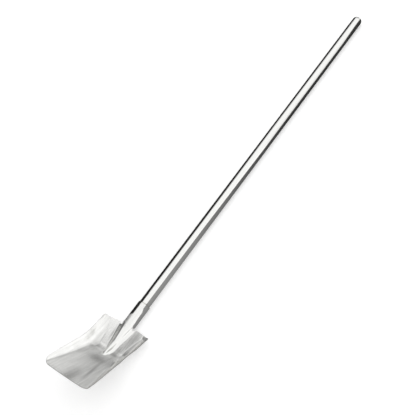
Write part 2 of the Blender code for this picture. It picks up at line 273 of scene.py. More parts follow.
# Cards' looks: the brightness at the two ends of a fade, where 1 is white, the fade's places
# in x, and the heights of a rise with the factors at them. The first two below change nothing.
ANYWHERE = (0.0, 1.0)
NO_CHANGE = (1.0, 1.0)
CLOTH_LOOK = ((1.18, 1.18),)
BLACK_LOOK = ((0.02, 0.02),)
WHITE_LOOK = ((1.25, 1.25),)
END_CARD_LOOK = ((0.62, 0.62),)
FAR_LOOK = ((1.05, 1.5), (-0.40, -0.26), (0.6, 1.05), (0.32, 1.0))
MID_LOOK = ((1.4, 0.8), (-0.22, 0.06), (0.6, 1.05), (0.5, 1.0))
FOOT_LOOK = ((0.15, 0.72), (-0.46, -0.36))
UPPER_LOOK = ((0.16, 0.3), (-0.2, 0.0))
FAR_END_LOOK = ((0.72, 0.5), (0.06, 0.3))
FAR_TUBE_LOOK = ((0.5, 0.7), (0.4, 0.8))
LOW_END_LOOK = ((0.9, 0.6), (0.2, 0.66))
FAR_STRIP_LOOK = ((0.06, 0.04), (-0.5, 0.9))
NEAR_STRIP_LOOK = ((0.30, 0.04), (-0.5, 0.35))
NEAR_LOW_LOOK = ((0.33, 0.05), (-0.5, 0.35))
FLOOR_CARD_LOOK = ((0.25, 0.35), (-0.5, 0.5))

# Camera of the photograph: where it stands, looks and has its top, and its lens in millimetres
CAMERA_PLACE = (-0.94375, -0.95754, 1.68224)
CAMERA_LOOK = (0.38437, 0.46980, -0.79470)
CAMERA_UP = (0.73639, 0.36314, 0.57084)
CAMERA_LENS = 58.629
CAMERA_SENSOR = 36.0


def linear(code):
    """Linear red, green and blue of an sRGB hex colour, and a full alpha."""
    srgb = np.array([int(code[i : i + 2], 16) for i in (0, 2, 4)]) / 255
    low = srgb / 12.92
    high = ((srgb + 0.055) / 1.055) ** 2.4
    return (*(float(v) for v in np.where(srgb <= 0.04045, low, high)), 1.0)


def add_node(tree, kind, sockets=None, **settings):
    """Add a node with its settings, and give each socket a value or what an earlier node gives.

    An earlier node stands for the first of its outputs.
    """
    node = tree.nodes.new("ShaderNode" + kind)
    for name, value in settings.items():
        setattr(node, name, value)
    for key, value in (sockets or {}).items():
        if isinstance(value, bpy.types.Node):
            value = value.outputs[0]
        if isinstance(value, bpy.types.NodeSocket):
            tree.links.new(value, node.inputs[key])
        else:
            node.inputs[key].default_value = value
    return node


def start_tree(owner):
    """Empty the node tree of a material or a world, and return what adds a node to it."""
    owner.use_nodes = True
    owner.node_tree.nodes.clear()
    return partial(add_node, owner.node_tree)


def start_material(name):
    """A new material, and what adds a node to it."""
    material = bpy.data.materials.new(name)
    return material, start_tree(material)


def blend(t):
    """Smooth step: 3 t squared less 2 t cubed, with t held between 0 and 1."""
    t = np.clip(t, 0.0, 1.0)
    return t * t * (3.0 - 2.0 * t)


def floor_line(station, radius):
    """The pan's floor from the front edge back: straight, an arc of the given radius, straight.

    The angle turns evenly over the arc, and x and z are the radius times the change of the
    angle's sine and cosine, on top of the two straights.
    """
    tangent = radius * math.tan(BEND_TURN / 2)
    turn = np.clip((station - FRONT_LENGTH + tangent) / (2 * tangent), 0, 1) * BEND_TURN
    angle = turn - FRONT_RISE
    front = np.minimum(station, FRONT_LENGTH - tangent) - FRONT_LENGTH
    rear = np.maximum(station - FRONT_LENGTH - tangent, 0)
    x = BEND_X + front * math.cos(FRONT_RISE) + rear * math.cos(REAR_RISE)
    z = BEND_Z - front * math.sin(FRONT_RISE) - rear * math.sin(REAR_RISE)
    x = x + radius * (np.sin(angle) + math.sin(FRONT_RISE))
    z = z + radius * (math.cos(FRONT_RISE) - np.cos(angle))
    return x, z, angle


def along_pan(station, front, bend, shoulder):
    """A size that runs straight from front to bend to shoulder: a rounded hyperbola."""
    past = station - FRONT_LENGTH
    before = (bend - front) / FRONT_LENGTH
    after = (shoulder - bend) / REAR_LENGTH
    rounded = np.sqrt(past**2 + FOLD_ROUNDING**2)
    return bend + (after + before) / 2 * past + (after - before) / 2 * rounded


def half_width(station):
    """Half width of the flat sheet: constant plus half a sine wave of bow."""
    return BLANK_HALF_WIDTH + EDGE_BOW * np.sin(math.pi * np.clip(station / PAN_LENGTH, 0, 1))


def fold_shape(station):
    """Where the wall folds up, its angle, and how much of the sheet its rounded foot takes."""
    fold = along_pan(station, FOLD_AT_FRONT, FOLD_AT_BEND, FOLD_AT_SHOULDER)
    angle = along_pan(station, WALL_ANGLE_FRONT, WALL_ANGLE_BEND, WALL_ANGLE_SHOULDER)
    soft = along_pan(station, SOFTNESS_FRONT, SOFTNESS_BEND, SOFTNESS_SHOULDER)
    return fold, angle, soft * np.maximum(half_width(station) - fold, 0)


def trough(station, across):
    """The pan's cross-section: a flat floor, an arc for the fold, and a straight wall."""
    fold, angle, tangent = fold_shape(station)
    radius = np.maximum(tangent / np.tan(angle / 2), NEARLY_NOTHING)
    turn = np.clip((across - fold + tangent) / radius, 0, angle)
    wall = np.maximum(across - fold + tangent - radius * angle, 0)
    side = np.minimum(across, fold - tangent) + radius * np.sin(turn) + wall * np.cos(angle)
    height = radius * (1 - np.cos(turn)) + wall * np.sin(angle)
    return side, height


def ridge_line(x):
    """Height of the frog's ridge: level, less a sine squared of sag from tip to socket."""
    along = np.clip((x - TIP_X) / (NOTCH_X - TIP_X), 0, 1)
    return AXIS_Z + SOCKET_RADIUS - RIDGE_SAG * np.sin(math.pi * along) ** 2


def frog_height(x, side, floor_z):
    """Height of the frog over the floor: a round crest that meets hollow feet tangentially.

    The flank's angle is twice the arctangent of height over half width, and the crest's and
    the foot's radii add up to the height over one less the angle's cosine.
    """
    top = ridge_line(x) - floor_z
    height = np.maximum(top, NEARLY_NOTHING)
    along = (x - BEND_X) / (NOTCH_X - BEND_X)
    width = FROG_HALF_WIDTH_BEND + (FROG_HALF_WIDTH_NOTCH - FROG_HALF_WIDTH_BEND) * along
    width = np.maximum(width, FROG_HALF_WIDTH_LEAST)
    power = FROG_LIMIT_SHARPNESS
    width = (width**-power + (FROG_TIP_SPREAD * height) ** -power) ** (-1 / power)
    flank = 2 * np.arctan(height / width)
    both = height / (1 - np.cos(flank))
    crest = CREST_RADIUS_TIP + (SOCKET_RADIUS - CREST_RADIUS_TIP) * np.clip(along, 0, 1)
    crest = np.minimum(crest, CREST_SHARE_MOST * both)
    foot = both - crest
    on_crest = height - crest + np.sqrt(np.maximum(crest**2 - side**2, 0))
    on_foot = foot - np.sqrt(np.maximum(foot**2 - (width - side) ** 2, 0))
    raised = np.where(side < crest * np.sin(flank), on_crest, on_foot)
    return np.where((side < width) & (top > NEARLY_NOTHING), raised, 0.0)


def pan_points(station, across):
    """Points of one half of the pan's upper face.

    The trough's section is set along the floor line, with its height at right angles to the
    line, and the frog's height is added straight up.
    """
    side, height = trough(station, across)
    flat = np.minimum(FOLD_AT_BEND, across)
    spread = blend((across - flat) / (BLANK_HALF_WIDTH - FOLD_AT_BEND))
    radius = BEND_RADIUS + (EDGE_BEND_RADIUS - BEND_RADIUS) * spread
    x, z, angle = floor_line(station, radius)
    x = x - height * np.sin(angle)
    z = z + height * np.cos(angle)
    z = z + frog_height(x, side, z)
    return np.stack([x, side, z], axis=-1)


def column_shares():
    """Places of the mesh columns: 0 at the middle, 1 beside the notch, 2 at the sheet's edge."""
    crest = np.linspace(0, NOTCH_INNER / NOTCH_OUTER, CREST_COLUMNS + 1)
    notch = np.linspace(NOTCH_INNER / NOTCH_OUTER, 1, NOTCH_COLUMNS + 1)
    side = np.linspace(1, 2, SIDE_COLUMNS + 1)
    return np.concatenate([crest, notch[1:], side[1:]])


def distance_across(station, share):
    """Distance along the sheet from the middle, cut back by a quarter circle at the corner."""
    cut = np.clip(1 - station / CORNER_RADIUS, 0, 1)
    edge = half_width(station) - CORNER_RADIUS * (1 - np.sqrt(1 - cut**2))
    outside = np.maximum(share - 1, 0)
    return NOTCH_OUTER * np.minimum(share, 1) + (edge - NOTCH_OUTER) * outside


def set_back(station, across):
    """Stations moved back towards the sides by the front edge's bow, a parabola.

    The bow fades evenly to nothing over the front floor's length.
    """
    fade = np.clip(1 - station / FRONT_LENGTH, 0, 1)
    return station + FRONT_BOW * (across / BLANK_HALF_WIDTH) ** 2 * fade


def shoulder_edge(share):
    """Stations of the swept shoulder edge: a straight line with a quarter circle at its end."""
    outside = np.maximum(share - 1, 0)
    from_edge = (1 - outside) * (BLANK_HALF_WIDTH - NOTCH_OUTER)
    near = np.clip(1 - from_edge / SHOULDER_CORNER, 0, 1)
    rounding = SHOULDER_CORNER * (1 - np.sqrt(1 - near**2))
    return PAN_LENGTH - SHOULDER_SWEEP * outside - rounding


def pan_surface():
    """Half the pan as a grid: stations from the front edge to the notch by columns outwards.

    Returns the points and, for each, its station and its distance across the flat sheet.
    """
    reach = EDGE_BEND_RADIUS * math.tan(BEND_TURN / 2)
    quarter = np.linspace(0, math.pi / 2, CORNER_ROWS + 1)
    corner = CORNER_RADIUS * (1 - np.cos(quarter))
    floor = np.linspace(CORNER_RADIUS, FRONT_LENGTH - reach, FLOOR_ROWS + 1)
    bend = np.linspace(FRONT_LENGTH - reach, FRONT_LENGTH + reach, BEND_ROWS + 1)
    rows = np.concatenate([corner, floor[1:], bend[1:]])
    share = column_shares()
    step = np.linspace(0, 1, REAR_ROWS + 1)[1:, None]
    last = shoulder_edge(share) - NOTCH_LENGTH
    rear = rows[-1] + (last - rows[-1]) * step
    station = np.concatenate([rows[:, None] + 0 * share, rear])
    across = distance_across(station, share)
    station = set_back(station, across)
    return pan_points(station, across), np.stack([station, across], axis=-1)


def shoulder_surface():
    """Half the sheet behind the notch's bottom: straight columns out to the shoulder's edge."""
    share = column_shares()[CREST_COLUMNS + NOTCH_COLUMNS :]
    step = np.linspace(0, 1, SHOULDER_ROWS + 1)[:, None]
    station = shoulder_edge(share) - NOTCH_LENGTH * (1 - step)
    shift = (SHOULDER_INNER - NOTCH_OUTER) * (2 - share) * step
    across = distance_across(station, share) + shift
    return pan_points(station, across), np.stack([station, across], axis=-1)


def socket_surface():
    """Half the socket: each row is the running sum of equal steps along a turning direction.

    The direction's angle blends from the frog's slope to distance over radius, a circle, and
    the steps lengthen until the sheet's edges nearly meet under the tube.
    """
    side = np.linspace(0, NOTCH_INNER, CREST_COLUMNS + 1)
    _, notch_z, _ = floor_line(NOTCH_STATION, BEND_RADIUS)
    height = frog_height(NOTCH_X, side, notch_z)
    lengths = np.hypot(np.diff(side), np.diff(height))
    slopes = np.arctan2(-np.diff(height), np.diff(side))
    arc = np.concatenate([[0], np.cumsum(lengths)])
    full = math.pi * SOCKET_RADIUS - SEAM_GAP / 2
    even = np.linspace(0, full, CREST_COLUMNS + 1)
    roll = np.linspace(NOTCH_X, SEAM_X, ROLL_ROWS + 1)
    straight = np.linspace(SEAM_X, MOUTH_X, SOCKET_ROWS + 1)
    x = np.concatenate([roll, straight[1:]])[:, None]
    rolled = blend((x - NOTCH_X) / ROLL_LENGTH)
    grown = arc + (even - arc) * blend((x - NOTCH_X) / WING_LENGTH)
    steps = np.diff(grown, axis=1)
    circle = (grown[:, 1:] + grown[:, :-1]) / 2 / SOCKET_RADIUS
    angle = (1 - rolled) * slopes + rolled * circle
    start = np.zeros_like(x)
    y = np.concatenate([start, np.cumsum(steps * np.cos(angle), axis=1)], axis=1)
    drop = np.concatenate([start, np.cumsum(steps * np.sin(angle), axis=1)], axis=1)
    z = AXIS_Z + SOCKET_RADIUS - drop
    station = NOTCH_STATION + x - NOTCH_X + 0 * y
    return np.stack([x + 0 * y, y, z], axis=-1), np.stack([station, grown], axis=-1)


def painted_shade_share(flat):
    """How much painted shade each point of the pan gets, standing in for shade and dark
    reflections.

    It is a base on the floor, which fades out at the fold, plus soft oval patches: a bell curve
    of the distances along and across from each one's place, over its reach.
    """
    fold = fold_shape(flat[..., 0])[0]
    painted_shade = FLOOR_PAINTED_SHADE * blend((fold - np.abs(flat[..., 1])) / PAINTED_SHADE_FEATHER + 0.5)
    for share, place, reach, slant in FLOOR_SHADE_PATCHES + BEND_SHADE_PATCHES:
        along = flat[..., 0] - place[0]
        aside = flat[..., 1] - place[1] - slant * along
        painted_shade = painted_shade + share * np.exp(-((along / reach[0]) ** 2) - (aside / reach[1]) ** 2)
    return np.clip(painted_shade, 0.0, 1.0)


def buffed_share(flat):
    """1 on the frog and 0 beyond its foot, whose half width grows as the root of the distance."""
    tip = FRONT_LENGTH + (TIP_X - BEND_X) / math.cos(FRONT_RISE)
    along = np.clip((flat[..., 0] - tip) / (NOTCH_STATION - tip), 0.0, 1.0)
    foot = FROG_HALF_WIDTH_NOTCH * np.sqrt(along)
    return blend((foot - np.abs(flat[..., 1])) / BUFF_FEATHER + 0.5) * (along > 0)


def both_halves(points, flat):
    """A half grid joined to its mirror image in Y = 0, with the distance across mirrored too."""
    points = np.concatenate([points[:, :0:-1] * (1, -1, 1), points], axis=1)
    flat = np.concatenate([flat[:, :0:-1] * (1, -1), flat], axis=1)
    return points, flat


def grid_faces(rows, columns, flip=False, close=False):
    """Corner numbers of a grid's quads, row by row; close joins its last column to its first."""
    row = np.arange(rows - 1)[:, None] * columns
    column = np.arange(columns if close else columns - 1)[None, :]
    following = (column + 1) % columns
    quads = np.stack(
        [row + column, row + columns + column, row + columns + following, row + following],
        axis=-1,
    ).reshape(-1, 4)
    return quads[:, ::-1] if flip else quads


def finish_piece(mesh, material, closed):
    """Merge a mesh's doubles, give it its material, and link it as a piece.

    A closed piece also has its faces turned outwards and its sharp edges kept crisp.
    """
    bm = bmesh.new()
    bm.from_mesh(mesh)
    bmesh.ops.remove_doubles(bm, verts=bm.verts, dist=MERGE_DISTANCE)
    if closed:
        bmesh.ops.recalc_face_normals(bm, faces=bm.faces)
    bm.to_mesh(mesh)
    bm.free()
    mesh.shade_smooth()
    if closed:
        mesh.set_sharp_from_angle(angle=SHARP_ANGLE)
    mesh.materials.append(material)
    piece = bpy.data.objects.new(mesh.name, mesh)
    bpy.context.scene.collection.objects.link(piece)
    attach(piece, "root")
    return piece


def add_sheet(name, points, faces, flat, shares, material):
    """An open sheet from arrays, with its places on the flat blank as a UV map.

    Shares are named numbers for each point, which the material reads.
    """
    mesh = bpy.data.meshes.new(name)
    mesh.from_pydata(points.tolist(), [], faces.tolist())
    layer = mesh.uv_layers.new(name="flat")
    layer.data.foreach_set("uv", flat[faces.reshape(-1)].astype(np.float32).reshape(-1))
    for share_name, values in shares.items():
        share = mesh.attributes.new(share_name, "FLOAT", "POINT")
        share.data.foreach_set("value", values.astype(np.float32))
    return finish_piece(mesh, material, closed=False)


def add_solid(name, points, faces, material):
    """A closed piece from an array of points and lists of their numbers."""
    mesh = bpy.data.meshes.new(name)
    mesh.from_pydata(points.reshape(-1, 3).tolist(), [], faces)
    return finish_piece(mesh, material, closed=True)


def add_revolved(name, x, radius, material):
    """A closed piece turned about the handle's axis, whose profile runs once round its outline.

    y is the radius times the angle's sine and z the radius times its cosine, over the axis.
    """
    turn = np.linspace(0, 2 * math.pi, ROUND_SIDES, endpoint=False)
    y = radius[:, None] * np.sin(turn)
    z = AXIS_Z + radius[:, None] * np.cos(turn)
    points = np.stack([x[:, None] + 0 * y, y, z], axis=-1)
    faces = grid_faces(len(x), ROUND_SIDES, close=True)
    return add_solid(name, points, faces.tolist(), material)


def brushed_sheet_material(settings):
    """Cold-rolled stainless sheet, brushed lengthwise: reflections spread across the grain.

    This gives the pan soft bands from the mouth to the socket. The frog and the socket are
    buffed with the handle, so they look smoother, and painted shade darkens soft patches of the
    pan, standing in for its shade and dark reflections. The first centimetre behind the mouth
    is scuffed by what it slides under.
    """
    material, add = start_material("brushed stainless sheet")
    place = add("UVMap", uv_map="flat")
    # Real grit lines are about 0.2 mm apart, too fine to show, so they are drawn coarser.
    grain_scale = (1 / settings.streak_length, 1 / settings.streak_width, 1.0)
    grain = add("Mapping", {"Vector": place, "Scale": grain_scale})
    streaks = add("TexNoise", {"Vector": grain, "Scale": 1.0, "Detail": 4.0, "Roughness": 0.6})
    clouds = add("TexNoise", {"Vector": place, "Scale": 1 / settings.cloud_size, "Detail": 2.0})
    parts = add("SeparateXYZ", {"Vector": place})
    buffed = add("Attribute", attribute_name="buffed").outputs["Fac"]
    painted_shade = add("Attribute", attribute_name="painted_shade").outputs["Fac"]
    scuffed = add(
        "MapRange",
        {
            "Value": parts.outputs["X"],
            "From Min": settings.scuff_reach,
            "From Max": 0.0,
            "To Max": SCUFF_ROUGHNESS,
        },
        interpolation_type="SMOOTHSTEP",
    )
    spread = add(
        "MapRange",
        {
            "Value": streaks,
            "From Min": NOISE_LOW,
            "From Max": NOISE_HIGH,
            "To Min": settings.roughness - STREAK_ROUGHNESS,
            "To Max": settings.roughness + STREAK_ROUGHNESS,
        },
    )
    smooth = add("Mix", {"Factor": buffed, "A": spread, "B": settings.buffed_roughness})
    rough = add("Math", {0: smooth, 1: scuffed}, operation="ADD")
    shade = add("Mix", {"Factor": CLOUD_SHARE, "A": streaks, "B": clouds})
    contrast = add("MapRange", {"Value": shade, "From Min": SHADE_LOW, "From Max": SHADE_HIGH})
    evened = add("Mix", {"Factor": buffed, "A": contrast, "B": BUFFED_SHADE})
    brushed = add(
        "Mix",
        {"Factor": evened, COLOUR_A: settings.dark_colour, COLOUR_B: settings.colour},
        data_type="RGBA",
    )
    # Painted shade: the tone is mixed towards the painted shade colour on the pan's painted
    # patches of shade
    tint = add(
        "Mix",
        {
            "Factor": painted_shade,
            COLOUR_A: brushed.outputs[COLOUR_RESULT],
            COLOUR_B: settings.painted_shade_colour,
        },
        data_type="RGBA",
    )
    relief = add("Mix", {"Factor": buffed, "A": settings.grain_relief, "B": 0.0})
    bump = add("Bump", {"Strength": relief, "Distance": BUMP_DEPTH, "Height": streaks})
    tangent = add("Tangent", direction_type="UV_MAP", uv_map="flat")
    shader = add(
        "BsdfPrincipled",
        {
            "Base Color": tint.outputs[COLOUR_RESULT],
            "Metallic": 1.0,
            "Roughness": rough,
            "Anisotropic": settings.anisotropy,
            "Anisotropic Rotation": ACROSS_GRAIN,
            "Normal": bump,
            "Tangent": tangent,
        },
    )
    add("OutputMaterial", {"Surface": shader})
    return material


def sheared_edge_material(settings):
    """Sheared and deburred edge of stainless sheet: matt, with a darker colour that is painted
    shade.

    The painted shade makes the sheet's outline read as a thin grey line, where the real edge
    shows the shaded floor beside it.
    """
    material, add = start_material("sheared stainless edge")
    place = add("TexCoord").outputs["Object"]
    grit = add("TexNoise", {"Vector": place, "Scale": 1 / settings.edge_grit, "Detail": 3.0})
    tint = add(
        "Mix",
        {"Factor": grit, COLOUR_A: settings.edge_dark_colour, COLOUR_B: settings.edge_colour},
        data_type="RGBA",
    )
    shader = add(
        "BsdfPrincipled",
        {
            "Base Color": tint.outputs[COLOUR_RESULT],
            "Metallic": 1.0,
            "Roughness": settings.edge_roughness,
        },
    )
    add("OutputMaterial", {"Surface": shader})
    return material


def polished_tube_material(settings):
    """Welded stainless tube, belt polished: nearly a mirror.

    Faint rings and long scuffs break up its straight reflections.
    """
    material, add = start_material("polished stainless tube")
    place = add("TexCoord").outputs["Object"]
    # Belt marks run round the tube; they are drawn a few millimetres apart so that they show.
    ring_scale = (1 / settings.ring_pitch, RINGS_ROUND, RINGS_ROUND)
    rings = add("Mapping", {"Vector": place, "Scale": ring_scale})
    belt = add("TexNoise", {"Vector": rings, "Scale": 1.0, "Detail": 3.0})
    scuff_scale = (SCUFFS_ALONG, SCUFFS_ROUND, SCUFFS_ROUND)
    along = add("Mapping", {"Vector": place, "Scale": scuff_scale})
    scuffs = add("TexNoise", {"Vector": along, "Scale": 1.0, "Detail": 3.0, "Roughness": 0.6})
    marks = add("Mix", {"Factor": SCUFF_SHARE, "A": belt, "B": scuffs})
    rough = add(
        "MapRange",
        {
            "Value": marks,
            "From Min": NOISE_LOW,
            "From Max": NOISE_HIGH,
            "To Min": settings.roughness - MARK_SMOOTHER,
            "To Max": settings.roughness + MARK_ROUGHER,
        },
    )
    tint = add(
        "Mix",
        {"Factor": marks, COLOUR_A: settings.dark_colour, COLOUR_B: settings.colour},
        data_type="RGBA",
    )
    bump = add(
        "Bump", {"Strength": settings.mark_relief, "Distance": BUMP_DEPTH, "Height": marks}
    )
    shader = add(
        "BsdfPrincipled",
        {
            "Base Color": tint.outputs[COLOUR_RESULT],
            "Metallic": 1.0,
            "Roughness": rough,
            "Normal": bump,
        },
    )
    add("OutputMaterial", {"Surface": shader})
    return material


def weld_bead_material(settings):
    """Stainless weld metal, wire brushed: duller than the sheet, with a faint straw heat tint."""
    material, add = start_material("brushed stainless weld bead")
    place = add("TexCoord").outputs["Object"]
    grit = add("TexNoise", {"Vector": place, "Scale": 1 / settings.grit_size, "Detail": 4.0})
    heat = add("TexNoise", {"Vector": place, "Scale": 1 / settings.tint_size, "Detail": 1.0})
    tint = add(
        "Mix",
        {"Factor": heat, COLOUR_A: settings.colour, COLOUR_B: settings.tint_colour},
        data_type="RGBA",
    )
    rough = add(
        "MapRange",
        {
            "Value": grit,
            "To Min": settings.roughness - GRIT_ROUGHNESS,
            "To Max": settings.roughness + GRIT_ROUGHNESS,
        },
    )
    bump = add(
        "Bump", {"Strength": settings.grit_relief, "Distance": BUMP_DEPTH, "Height": grit}
    )
    shader = add(
        "BsdfPrincipled",
        {
            "Base Color": tint.outputs[COLOUR_RESULT],
            "Metallic": 1.0,
            "Roughness": rough,
            "Normal": bump,
        },
    )
    add("OutputMaterial", {"Surface": shader})
    return material


def seen_directly(add):
    """1 for camera, glossy and transmission rays, and 0 for the rays that light the object."""
    rays = add("LightPath").outputs
    either = add(
        "Math", {0: rays["Is Camera Ray"], 1: rays["Is Glossy Ray"]}, operation="MAXIMUM"
    )
    return add("Math", {0: either, 1: rays["Is Transmission Ray"]}, operation="MAXIMUM")


def paper_floor_material(settings):
    """White background paper: matt, and lifted to plain white where no shadow falls.

    The lift grows away from the shovel, where the lamp's light on the paper fades.
    """
    material, add = start_material("white background paper")
    matt = {"Color": settings.paper_colour, "Roughness": settings.paper_roughness}
    paper = add("BsdfDiffuse", matt)
    place = add("TexCoord").outputs["Object"]
    distance = add("VectorMath", {0: place}, operation="LENGTH")
    spread = add(
        "MapRange",
        {
            "Value": distance.outputs["Value"],
            "From Min": PAPER_NEAR,
            "From Max": PAPER_FAR,
            "To Min": settings.paper_lift,
            "To Max": settings.paper_far_lift,
        },
        interpolation_type="SMOOTHSTEP",
    )
    lift = add("Math", {0: seen_directly(add), 1: spread}, operation="MULTIPLY")
    glow = add("Emission", {"Strength": lift})
    both = add("AddShader", {0: paper, 1: glow})
    add("OutputMaterial", {"Surface": both})
    return material


def card_material(name, tones, fade=ANYWHERE, rise=ANYWHERE, factors=NO_CHANGE):
    """Studio card: matt board whose tone fades along the handle, times a factor upwards.

    Fade holds the places in x where the first tone ends and the second begins, and rise the
    heights between which the factor changes.
    """
    material, add = start_material(name)
    place = add("TexCoord").outputs["Object"]
    parts = add("SeparateXYZ", {"Vector": place}).outputs
    lengthwise, upward = (
        add(
            "MapRange",
            {
                "Value": parts[axis],
                "From Min": places[0],
                "From Max": places[1],
                "To Min": values[0],
                "To Max": values[1],
            },
            interpolation_type="SMOOTHSTEP",
        )
        for axis, places, values in (("X", fade, tones), ("Z", rise, factors))
    )
    tone = add("Math", {0: lengthwise, 1: upward}, operation="MULTIPLY")
    glow = add("Emission", {"Strength": tone})
    add("OutputMaterial", {"Surface": glow})
    return material


def upright(y, lower, upper):
    """Corners of an upright card beside the handle, from (x, z) points along its two edges."""
    return [(x, y, z) for x, z in (*lower, *reversed(upper))]


def standing(y, upper, foot=0.0):
    """Corners of an upright card whose lower edge is level."""
    return upright(y, [(upper[0][0], foot), (upper[-1][0], foot)], upper)


def level(z, ends, sides):
    """Corners of a level card, from its ends in x and its sides in y."""
    first, last = ends
    near, far = sides
    return [(first, near, z), (last, near, z), (last, far, z), (first, far, z)]


def crosswise(x, sides, height):
    """Corners of an upright card across the handle's line, from its sides in y."""
    near, far = sides
    return [(x, near, 0.0), (x, far, 0.0), (x, far, height), (x, near, height)]


def add_card(name, board, look, corners):
    """A flat stage card that only reflections see, of a board with the look given."""
    mesh = bpy.data.meshes.new(name)
    mesh.from_pydata(corners, [], [tuple(range(len(corners)))])
    mesh.materials.append(card_material(board, *look))
    card = bpy.data.objects.new(name, mesh)
    bpy.context.scene.collection.objects.link(card)
    card.visible_camera = False
    card.visible_diffuse = False
    card.visible_shadow = False


def add_lamp(name, place, size, radiance):
    """A rectangular softbox that faces down, with its power worked out from its radiance."""
    data = bpy.data.lights.new(name, "AREA")
    data.shape = "RECTANGLE"
    data.size, data.size_y = size
    data.energy = math.pi * size[0] * size[1] * radiance
    lamp = bpy.data.objects.new(name, data)
    bpy.context.scene.collection.objects.link(lamp)
    lamp.location = place
    lamp.visible_camera = False
    lamp.visible_glossy = False


def length(name, description, default):
    """A length, which the panel shows with its unit."""
    return FloatProperty(name=name, description=description, default=default, unit="LENGTH")


def factor(name, description, default):
    """A share of the whole."""
    return FloatProperty(name=name, description=description, default=default, subtype="FACTOR")


def brightness(name, description, default):
    """A strength of light, never below nothing."""
    return FloatProperty(name=name, description=description, default=default, min=0.0)


def hex_colour(name, description, code):
    """A colour, from its sRGB hex code."""
    return FloatVectorProperty(
        name=name,
        description=description,
        default=linear(code),
        size=4,
        min=0.0,
        max=1.0,
        subtype="COLOR",
    )


class SheetSettings(bpy.types.PropertyGroup):
    """Finish and edges of the pressed sheet."""

    edge_rounding: length("Edge rounding", "Radius of the deburred edges", 0.0004)
    roughness: factor("Roughness", "How far the brushed pan spreads a reflection", 0.18)
    buffed_roughness: factor(
        "Buffed roughness", "How far the buffed frog and socket spread a reflection", 0.13
    )
    anisotropy: factor(
        "Anisotropy", "How much more a reflection spreads across the grain than along it", 0.3
    )
    streak_width: length(
        "Streak width", "Spacing of the brushed streaks across the sheet", 0.007
    )
    streak_length: length("Streak length", "Length of the brushed streaks", 0.120)
    cloud_size: length("Cloud size", "Size of the soft lighter and darker patches", 0.040)
    scuff_reach: length("Scuff reach", "How far the scuffing reaches back from the mouth", 0.014)
    grain_relief: factor("Grain relief", "Strength of the brushed grain's bump", 0.12)
    colour: hex_colour("Colour", "Colour of the steel", "F2F2F0")
    dark_colour: hex_colour(
        "Dark colour", "Colour of the steel in the darker streaks", "D6D6D4"
    )
    # Painted shade: the dark colour that the pan's painted patches of shade are mixed towards
    painted_shade_colour: hex_colour(
        "Mill colour", "Colour of the dull finish that the brushing left", "8C8C8A"
    )
    edge_roughness: factor(
        "Edge roughness", "How far the sheared edge spreads a reflection", 0.5
    )
    edge_grit: length("Edge grit", "Size of the file marks on the sheared edge", 0.0006)
    # Painted shade: both edge colours are far darker than the steel, so that the outline reads as
    # a grey line
    edge_colour: hex_colour("Edge colour", "Colour of the sheared edge", "8E8E8B")
    edge_dark_colour: hex_colour(
        "Dark edge colour", "Colour of the sheared edge in its file marks", "6E6E6C"
    )


class HandleSettings(bpy.types.PropertyGroup):
    """Finish of the tube and its cap."""

    roughness: factor("Roughness", "How far the polished tube spreads a reflection", 0.11)
    ring_pitch: length("Ring pitch", "Spacing of the belt marks along the tube", 0.006)
    mark_relief: factor("Mark relief", "Strength of the polishing marks' bump", 0.05)
    joint_groove: length(
        "Joint groove", "Depth of the polished joint between tube and cap", 0.0002
    )
    colour: hex_colour("Colour", "Colour of the steel", "EEEEEC")
    dark_colour: hex_colour(
        "Dark colour", "Colour of the steel in the polishing marks", "DFDFDD"
    )


class WeldSettings(bpy.types.PropertyGroup):
    """Shape and finish of the weld beads."""

    ripple_pitch: length("Ripple pitch", "Spacing of the ripples along a bead", 0.0022)
    ripple_height: length("Ripple height", "Height of the ripples along a bead", 0.00016)
    roughness: factor("Roughness", "How far the bead spreads a reflection", 0.32)
    grit_size: length("Grit size", "Size of the brush marks on the bead", 0.0008)
    grit_relief: factor("Grit relief", "Strength of the brush marks' bump", 0.25)
    tint_size: length("Tint size", "Size of the heat-tinted patches", 0.012)
    colour: hex_colour("Colour", "Colour of the weld metal", "CFCFCC")
    tint_colour: hex_colour("Tint colour", "Colour of the heat tint", "C4BEB2")


class StageSettings(bpy.types.PropertyGroup):
    """Studio: paper, sky and overhead light."""

    paper_colour: hex_colour("Paper colour", "Colour of the background paper", "EDEDED")
    paper_roughness: factor("Paper roughness", "How matt the background paper is", 0.5)
    paper_lift: brightness(
        "Paper lift", "Light that the paper gives off where it is seen directly", 0.36
    )
    paper_far_lift: brightness(
        "Far paper lift", "The same light where the paper is far from the shovel", 0.68
    )
    sky_strength: brightness(
        "Sky strength", "Strength of the even light from all round", 0.45
    )
    top_radiance: brightness(
        "Overhead light", "Brightness of the overhead softbox, where 1 is white", 0.8
    )


class ShovelSettings(bpy.types.PropertyGroup):
    """All the settings of the shovel and its studio."""

    sheet: PointerProperty(type=SheetSettings, name="Sheet", description="Pressed sheet")
    handle: PointerProperty(type=HandleSettings, name="Handle", description="Tube and cap")
    weld: PointerProperty(type=WeldSettings, name="Welds", description="Weld beads")
    stage: PointerProperty(type=StageSettings, name="Stage", description="Studio")


